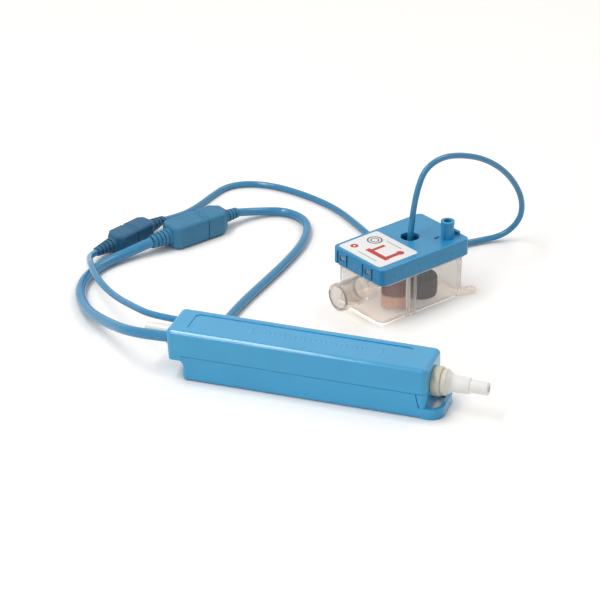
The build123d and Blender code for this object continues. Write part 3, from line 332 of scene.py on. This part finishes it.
def label_print(n, tint):
    """Plain generic motifs: red bars and dots, a dark double ring and two grey lines."""
    x, y, z = n.millimetres(TANK_ORIGIN, TANK_ANGLE)
    red_bars = [n.bar(x, y, centre, half) for centre, half in RED_BARS]
    red = n.most(*red_bars, n.ring(x, y, RED_DOT, 0.0, 2.4), n.ring(x, y, RED_RING, 1.6, 0.8))
    dark = n.most(n.ring(x, y, DARK_RINGS, 4.2, 0.45), n.ring(x, y, DARK_RINGS, 2.3, 0.35))
    grey = n.most(*[n.bar(x, y, centre, half) for centre, half in GREY_LINES])
    inked = n.mixed(red, tint, linear(196, 44, 36))
    inked = n.mixed(dark, inked, linear(52, 48, 50))
    return n.mixed(grey, inked, linear(150, 148, 148))


def darker_sensor_side(n, tint):
    """The sensor side's connector is coloured a darker blue than the mains side's."""
    x, y, z = n.millimetres(JOINT[0], JOINT[1])
    return n.mixed(n.maths("GREATER_THAN", y, JOINT_SIDE), tint, linear(36, 98, 134))


def core_paint(n, tint):
    """Brown, blue and green and yellow cores, told apart by where they lie in the cable."""
    x, y, z = n.millimetres()
    stripe = n.maths("GREATER_THAN", n.maths("SINE", n.maths("MULTIPLY", x, 1.4)), 0.2)
    earth = n.mixed(stripe, linear(60, 140, 70), linear(214, 196, 60))
    pair = n.mixed(n.maths("GREATER_THAN", z, 2.6), earth, linear(50, 96, 168))
    return n.mixed(n.maths("GREATER_THAN", y, HANK_CENTRE[1] + 0.5), pair, tint)


# ---------------------------------------------------------------- materials
def moulded(name, colour, rough=(0.22, 0.34), grain=900, grain_depth=0.00002, tone=0.06, coat=0.0,
            paint=None, relief=None, **extra):
    """Moulded plastic or rubber: cloudy tone, uneven gloss, fine grain and slight sink marks."""
    n = material_nodes(name)
    cloud = n.noise(22, 4, 0.6)
    fine = n.noise(grain, 3, 0.6)
    marks = n.noise(260, 2, 0.5, stretch=(0.25, 1.0, 1.0))
    bsdf = n.shader(Coat_Weight=coat, Coat_Roughness=0.08, **extra)
    tint = n.two_tone(cloud, shade(colour, 1 - tone), shade(colour, 1 + tone))
    n.link(paint(n, tint) if paint else tint, bsdf.inputs["Base Color"])
    n.link(n.spread(marks, rough[0], rough[1], 0.3, 0.7), bsdf.inputs["Roughness"])
    soft = n.bump(cloud, 0.12, 0.0015)
    if relief:
        soft = n.bump(relief(n), 0.8, 0.0003, soft)
    n.link(n.bump(fine, 0.5, grain_depth, soft), bsdf.inputs["Normal"])
    return n.owner


def metal(name, colour, rough, stretch, depth=0.00003):
    """Metal with drawn streaks in its gloss and a slightly uneven tone."""
    n = material_nodes(name)
    streak = n.noise(700, 4, 0.6, stretch=stretch)
    cloud = n.noise(60, 3, 0.5)
    bsdf = n.shader(Metallic=1.0)
    n.link(n.two_tone(cloud, shade(colour, 0.86), colour), bsdf.inputs["Base Color"])
    n.link(n.spread(streak, rough * 0.7, rough * 1.3, 0.3, 0.7), bsdf.inputs["Roughness"])
    n.link(n.bump(streak, 0.6, depth), bsdf.inputs["Normal"])
    return n.owner


def box_veil_and_painted_light(n, haze, x, y, z):
    """How milky the clear box is: more at its rim, foot and ribs, and more at the far walls as painted
    light that lightens them.
    """
    parts = [
        n.spread(haze, 0.07, 0.13, 0.3, 0.7),
        n.spread(z, 0.45, 0.0, *BOX_FOOT_Z),
        n.maths("MULTIPLY", n.maths("GREATER_THAN", z, BOX_RIM_Z), 0.7),
        n.maths("MULTIPLY", n.maths("GREATER_THAN", n.maths("ABSOLUTE", y), BOX_RIB_Y), 0.3),
    ]
    # painted light: the far walls get extra milk so that they read lighter
    far = n.most(n.maths("GREATER_THAN", y, BOX_FAR_Y), n.maths("GREATER_THAN", x, BOX_FAR_X))
    veil_and_painted_light = n.maths("MULTIPLY", far, 0.22)
    for part in parts:
        veil_and_painted_light = n.maths("ADD", veil_and_painted_light, part)
    return veil_and_painted_light


def clear_plastic():
    """Clear moulded box with a milky haze, flow marks and fine scuffs."""
    n = material_nodes("clear_plastic")
    x, y, z = n.millimetres(TANK_ORIGIN, TANK_ANGLE)
    haze = n.noise(45, 4, 0.6)
    scuff = n.noise(900, 5, 0.7)
    bsdf = n.shader(Transmission_Weight=1.0, IOR=1.32)
    clear = n.two_tone(haze, linear(252, 250, 248), linear(255, 254, 253))
    tube = n.maths("LESS_THAN", x, 0.0)
    n.link(n.mixed(tube, clear, linear(226, 220, 214)), bsdf.inputs["Base Color"])
    n.link(n.spread(scuff, 0.03, 0.12, 0.35, 0.75), bsdf.inputs["Roughness"])
    n.link(n.bump(haze, 0.3, 0.0008), bsdf.inputs["Normal"])
    lit_through = n.add("ShaderNodeBsdfTranslucent")
    lit_through.inputs["Color"].default_value = linear(252, 247, 243)
    lit_front = n.add("ShaderNodeBsdfDiffuse")
    lit_front.inputs["Color"].default_value = linear(250, 245, 241)
    milk = n.mix_shaders(0.5, lit_through.outputs["BSDF"], lit_front.outputs["BSDF"])
    wall = n.mix_shaders(box_veil_and_painted_light(n, haze, x, y, z), bsdf.outputs["BSDF"], milk)
    # light passes through to the floor instead of casting a hard dark shadow
    through = n.add("ShaderNodeBsdfTransparent")
    through.inputs["Color"].default_value = linear(244, 239, 234)
    shadow_ray = n.add("ShaderNodeLightPath").outputs["Is Shadow Ray"]
    n.link(n.mix_shaders(shadow_ray, wall, through.outputs["BSDF"]), n.out.inputs["Surface"])
    return n.owner


def screen_mesh():
    """Woven screen: two crossed sets of fine wires, a darker brown above a height that wanders a little."""
    n = material_nodes("screen_brown")
    x, y, z = n.millimetres(TANK_ORIGIN, TANK_ANGLE)
    weave = n.most(*[n.maths("SINE", n.maths("MULTIPLY", axis, 7.0)) for axis in (y, z)])
    cloud = n.noise(120, 3, 0.5)
    level = n.maths("ADD", z, n.maths("MULTIPLY", cloud, 1.6))
    darker_above = n.spread(level, 0.0, 1.0, *SCREEN_DARK_HEIGHTS)
    lower_tone = n.two_tone(cloud, linear(226, 170, 146), linear(238, 190, 166))
    upper_tone = n.two_tone(cloud, linear(96, 34, 20), linear(130, 58, 40))
    bsdf = n.shader(Metallic=0.1)
    n.link(n.mixed(darker_above, lower_tone, upper_tone), bsdf.inputs["Base Color"])
    n.link(n.spread(cloud, 0.4, 0.6), bsdf.inputs["Roughness"])
    n.link(n.bump(weave, 0.7, 0.0002), bsdf.inputs["Normal"])
    return n.owner


materials = {
    "blue_plastic": moulded("blue_plastic", BLUE, rough=(0.10, 0.18), coat=0.35, relief=panel_marks),
    "lid_blue": moulded("lid_blue", linear(46, 150, 200), rough=(0.26, 0.38)),
    "lid_dark": moulded("lid_dark", linear(34, 78, 110), rough=(0.4, 0.55)),
    # the ivory outlet carries painted light towards its tip and painted shade on its collar
    "ivory_plastic": moulded("ivory_plastic", linear(202, 200, 176), rough=(0.25, 0.38), tone=0.03,
                             paint=outlet_painted_light_and_shade, Subsurface_Weight=0.2, Subsurface_Scale=0.002),
    "cream_plastic": moulded("cream_plastic", linear(252, 250, 240), rough=(0.25, 0.38), tone=0.02,
                             Subsurface_Weight=0.3, Subsurface_Scale=0.003),
    "black_rubber": moulded("black_rubber", linear(38, 38, 40), rough=(0.5, 0.7), grain=1400),
    "blue_rubber": moulded("blue_rubber", linear(60, 132, 176), rough=(0.4, 0.55)),
    "cable_blue": moulded("cable_blue", CABLE, rough=(0.15, 0.24), grain=1600, coat=0.2),
    "connector_blue": moulded("connector_blue", linear(52, 126, 164), rough=(0.45, 0.6), grain=1200,
                              paint=darker_sensor_side),
    "brass": metal("brass", linear(206, 172, 96), 0.28, (1, 1, 0.1)),
    "copper": metal("copper", linear(190, 108, 70), 0.3, (30, 0.2, 0.2), 0.0001),
    "steel": metal("steel", linear(178, 178, 176), 0.3, (0.1, 1, 1)),
    "spring_steel": metal("spring_steel", linear(196, 196, 198), 0.22, (1, 1, 1)),
    "nylon": moulded("nylon", linear(222, 216, 200), rough=(0.4, 0.55)),
    "board_green": moulded("board_green", linear(34, 96, 62), rough=(0.3, 0.5)),
    "float_grey": moulded("float_grey", linear(42, 36, 39), rough=(0.5, 0.7), grain=1500,
                          grain_depth=0.00005),
    "magnet_black": moulded("magnet_black", linear(44, 44, 46), rough=(0.4, 0.6)),
    "label_white": moulded("label_white", linear(250, 249, 247), rough=(0.35, 0.5), tone=0.015,
                           paint=label_print),
    "tie_black": moulded("tie_black", linear(34, 34, 36), rough=(0.4, 0.55)),
    "core_colours": moulded("core_colours", linear(112, 70, 46), rough=(0.35, 0.5), paint=core_paint),
    "clear_plastic": clear_plastic(),
    "screen_brown": screen_mesh(),
}

for row in frame["record"]["subparts"]:
    node = nodes[row["node"]]
    node.data.materials.clear()
    node.data.materials.append(materials[row["material_slot"]])

# ---------------------------------------------------------------- cord routes, as in part.py
MAINS_ROUTE = [
    MAINS_EXIT, (-97.0, -8.2, 21.2), (-121.0, 12.0, 13.0), (-146.0, 38.0, 4.6),
    (-161.5, 65.0, 3.4), (-161.0, 93.0, 3.4), (-151.0, 113.0, 4.2), connector_point(*MAINS, 0),
]
SENSOR_ROUTE = [
    SENSOR_EXIT, (-93.0, 10.6, 23.6), (-110.0, 23.5, 20.0), (-130.0, 42.5, 14.6),
    (-146.5, 60.0, 13.6), (-157.0, 76.0, 13.2), (-163.5, 89.0, 10.0), (-166.9, 98.2, 7.6),
    connector_point(*JOINT, 0),
]
SUPPLY_ROUTE = [
    connector_point(*MAINS, MAINS_PLUG_END), (-94.0, 196.0, 3.2), (-77.0, 203.0, 2.6), (-60.0, 193.0, 2.6),
    (-54.0, 168.0, 2.6), (-55.5, 138.0, 2.6), (-59.5, 108.0, 2.6), (-63.5, 79.0, 2.6),
    (-65.0, 54.0, 2.6),
]
TAIL_ROUTE = [
    (16.0, 46.9, 7.0), (2.0, 42.0, 4.4), (-11.0, 36.0, 2.6), (-23.0, 32.7, 2.6), (-35.0, 32.7, 2.6),
]
FLOOR_ROUTE = [
    connector_point(*JOINT, JOINT_PLUG_END), (-138.2, 174.5, 3.0), (-133.0, 190.5, 2.0),
    (-129.8, 209.0, 1.9), (-125.5, 226.0, 1.9), (-113.0, 235.0, 1.9), (-95.0, 236.0, 1.9),
    (-72.0, 229.0, 1.9), (-50.0, 217.5, 1.9), (-32.0, 201.0, 1.9), (-16.5, 185.5, 1.9),
]
ARCH_ROUTE = [
    (34.5, 190.0, 3.2), (46.0, 202.5, 1.9), (59.5, 211.5, 3.5), (68.5, 214.5, 14.0),
    (70.5, 211.0, 28.0), (67.8, 204.0, 42.5), (62.0, 193.5, 56.5), (54.0, 179.5, 68.5), (45.0, 164.0, 76.5),
    (36.5, 149.4, 80.5), (29.6, 137.4, 77.0), (26.6, 132.2, 65.0), (25.1, 129.6, 51.5),
    (24.6, 128.7, 43.0), (24.3, 128.16, 37.9), tank_point(*CABLE_HOLE, CABLE_TOP),
]


def hank_end(x, first, last, z):
    """Round end of the hank about x, from the first angle to the last."""
    return [
        (x + HANK_R * cos(radians(angle)), HANK_CENTRE[1] + HANK_R * sin(radians(angle)), z)
        for angle in range(first, last + 1, 30)
    ]


def hank_side(side, places):
    """Straight side of the hank, -1 for the near one; places are x and height."""
    return [(x, HANK_CENTRE[1] + side * HANK_R, z) for x, z in places]


def supply_route():
    """The supply cable: to the hank, one lap on the floor, most of another on top of it, and the tail."""
    points = SUPPLY_ROUTE + hank_end(-HANK_HALF, 180, 240, HANK_LOW)
    for height in (HANK_LOW, HANK_HIGH):
        points += hank_side(-1, [(x, height) for x in (-50.0, -30.0, -10.0, 10.0, 30.0, 50.0)])
        points += hank_end(HANK_HALF, -60, 60, height)
        if height == HANK_LOW:
            points += hank_side(1, HANK_CLIMB) + hank_end(-HANK_HALF, 120, 240, HANK_HIGH + 0.1)
    points += hank_side(1, [(50.0, HANK_HIGH), (30.0, HANK_HIGH)])
    return points + TAIL_ROUTE


def coil_turns():
    """The float cable's coil: outer turn, inner turn, then the same on top."""
    span = COIL_END - COIL_START
    count = int(span / 360.0 * COIL_STEPS)
    points = []
    for number in range(count + 1):
        turned = number / count * span
        turns = turned / 360.0
        inside = min(1.0, max(0.0, (turns - 0.95) * 5)) - min(1.0, max(0.0, (turns - 2.95) * 5))
        above = min(1.0, max(0.0, (turns - 1.95) * 5))
        radius = COIL_R - COIL_INSET * inside
        angle = radians(COIL_START + turned)
        points.append((
            COIL_CENTRE[0] + radius * cos(angle),
            COIL_CENTRE[1] + radius * sin(angle),
            COIL_LOW + COIL_LIFT * above,
        ))
    return points


# ---------------------------------------------------------------- cords
def spline_object(name, points, radius=0.0):
    """Curve of one open NURBS spline, with the route's points as its control points."""
    curve = bpy.data.curves.new(name, "CURVE")
    curve.dimensions = "3D"
    spline = curve.splines.new("NURBS")
    spline.points.add(len(points) - 1)
    for point, place in zip(spline.points, points):
        point.co = (*mm(*place), 1.0)
    spline.order_u = 3
    spline.use_endpoint_u = True
    spline.resolution_u = 12
    curve.bevel_depth = radius
    curve.bevel_resolution = 6
    curve.use_fill_caps = True
    obj = bpy.data.objects.new(name, curve)
    scene.collection.objects.link(obj)
    return obj


def followed(points):
    """Points along the route's own smooth line."""
    guide = spline_object("guide", points)
    mesh = bpy.data.meshes.new_from_object(guide)
    path = [vertex.co.copy() for vertex in mesh.vertices]
    bpy.data.objects.remove(guide, do_unlink=True)
    bpy.data.meshes.remove(mesh)
    return path


def link_mesh(name, bm, smooth=True):
    mesh = bpy.data.meshes.new(name)
    bmesh.ops.recalc_face_normals(bm, faces=bm.faces)
    bm.to_mesh(mesh)
    bm.free()
    for face in mesh.polygons:
        face.use_smooth = smooth
    obj = bpy.data.objects.new(name, mesh)
    scene.collection.objects.link(obj)
    return obj


def tube_mesh(name, path, radius, sides=20):
    """Round tube along a path, closed at both ends."""
    bm = bmesh.new()
    rings = []
    side = None
    for number, place in enumerate(path):
        before = path[max(number - 1, 0)]
        after = path[min(number + 1, len(path) - 1)]
        way = (after - before).normalized()
        if side is None:
            side = way.orthogonal().normalized()
        side = (side - way * side.dot(way)).normalized()
        other = way.cross(side)
        turns = [2 * pi * k / sides for k in range(sides)]
        rings.append([bm.verts.new(place + (side * cos(a) + other * sin(a)) * radius) for a in turns])
    for ring, after in zip(rings, rings[1:]):
        for k in range(sides):
            bm.faces.new((ring[k], ring[(k + 1) % sides], after[(k + 1) % sides], after[k]))
    bm.faces.new(rings[0])
    bm.faces.new(rings[-1])
    return link_mesh(name, bm)


mains_cord = spline_object("mains_cord", MAINS_ROUTE, MAINS_D * MM / 2)
sensor_cord = spline_object("sensor_cord", SENSOR_ROUTE, SENSOR_D * MM / 2)
supply_cord = spline_object("supply_cord", supply_route(), SUPPLY_D * MM / 2)
# the float cable's path runs from the lid, where it leaves the tank, to the connector
float_path = followed(FLOOR_ROUTE + coil_turns() + ARCH_ROUTE)
float_path.reverse()
float_cord = tube_mesh("float_cord", float_path, FLOAT_D * MM / 2)

for cord in (mains_cord, sensor_cord, supply_cord, float_cord):
    cord.data.materials.append(materials["cable_blue"])

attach(mains_cord, "base")
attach(sensor_cord, "base")
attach(supply_cord, "supply_plug")
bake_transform(float_cord)
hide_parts("mains_lead")
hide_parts("sensor_lead")
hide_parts("supply_cable", "supply_hank", "supply_tail")
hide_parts("float_cable_floor", "float_cable_coil", "float_cable_arch", "float_cable_top")


# ---------------------------------------------------------------- floor, world and lamps
def floor_material():
    """Pale paper that glows a little to whiten, with a painted contact shadow where something stands on it
    and a painted pool of light under the clear box.
    """
    n = material_nodes("floor")
    sheen = n.noise(3, 2, 0.5)
    # painted contact shadow: the glow fades where things stand close by
    near = n.add("ShaderNodeAmbientOcclusion", samples=8)
    near.inputs["Distance"].default_value = 0.008
    paper = n.shader(Roughness=0.6)
    n.link(n.two_tone(sheen, linear(243, 239, 235), linear(246, 243, 240)), paper.inputs["Base Color"])
    glow = n.add("ShaderNodeEmission")
    glow.inputs["Color"].default_value = LIGHT_COLOUR
    # painted light: under the clear box the floor glows brighter, standing in for the light that comes
    # through the walls all round
    x, y, z = n.millimetres(TANK_ORIGIN, TANK_ANGLE)
    tank_painted_light_pool = n.bar(x, y, BOX_MIDDLE, BOX_INNER_HALF)
    painted_shade_and_light = n.most(n.maths("POWER", near.outputs["AO"], 2.0), n.maths("MULTIPLY", tank_painted_light_pool, 1.7))
    strength = n.maths("MULTIPLY", n.spread(n.seen_directly(), 0.0, 0.28), painted_shade_and_light)
    n.link(strength, glow.inputs["Strength"])
    total = n.add("ShaderNodeAddShader")
    n.link(paper.outputs["BSDF"], total.inputs[0])
    n.link(glow.outputs["Emission"], total.inputs[1])
    n.link(total.outputs["Shader"], n.out.inputs["Surface"])
    return n.owner


def lay_floor():
    bm = bmesh.new()
    bmesh.ops.create_grid(bm, x_segments=1, y_segments=1, size=6.0)
    floor = link_mesh("floor", bm, smooth=False)
    floor.location.z = -0.0002
    floor.data.materials.append(floor_material())


def studio_world():
    """Soft even light, seen as white behind the object, in reflections and through the clear box."""
    world = bpy.data.worlds.new("studio")
    scene.world = world
    n = Nodes(world, "ShaderNodeOutputWorld")
    sky = n.add("ShaderNodeBackground")
    sky.inputs["Color"].default_value = LIGHT_COLOUR
    n.link(n.spread(n.seen_directly(), 0.36, 1.0), sky.inputs["Strength"])
    n.link(sky.outputs["Background"], n.out.inputs["Surface"])


def lamp(name, place, aim, size, power):
    """Soft rectangular lamp at a place, turned towards its aim."""
    data = bpy.data.lights.new(name, "AREA")
    data.shape = "RECTANGLE"
    data.size, data.size_y = size
    data.energy = power
    obj = bpy.data.objects.new(name, data)
    scene.collection.objects.link(obj)
    obj.location = place
    obj.rotation_mode = "QUATERNION"
    obj.rotation_quaternion = (Vector(aim) - Vector(place)).to_track_quat("-Z", "Y")


lay_floor()
studio_world()
lamp("key", (0.5, 0.9, 1.3), (-0.03, 0.08, 0.0), (0.9, 0.6), 4.3)
lamp("overhead_strip", (-0.42, -0.22, 1.10), (-0.42, -0.22, 0.0), (0.24, 1.0), 6.6)
lamp("front_strip", (-0.46, -1.05, 0.72), (-0.06, 0.0, 0.03), (0.24, 0.9), 2.6)

scene.view_settings.view_transform = "Standard"
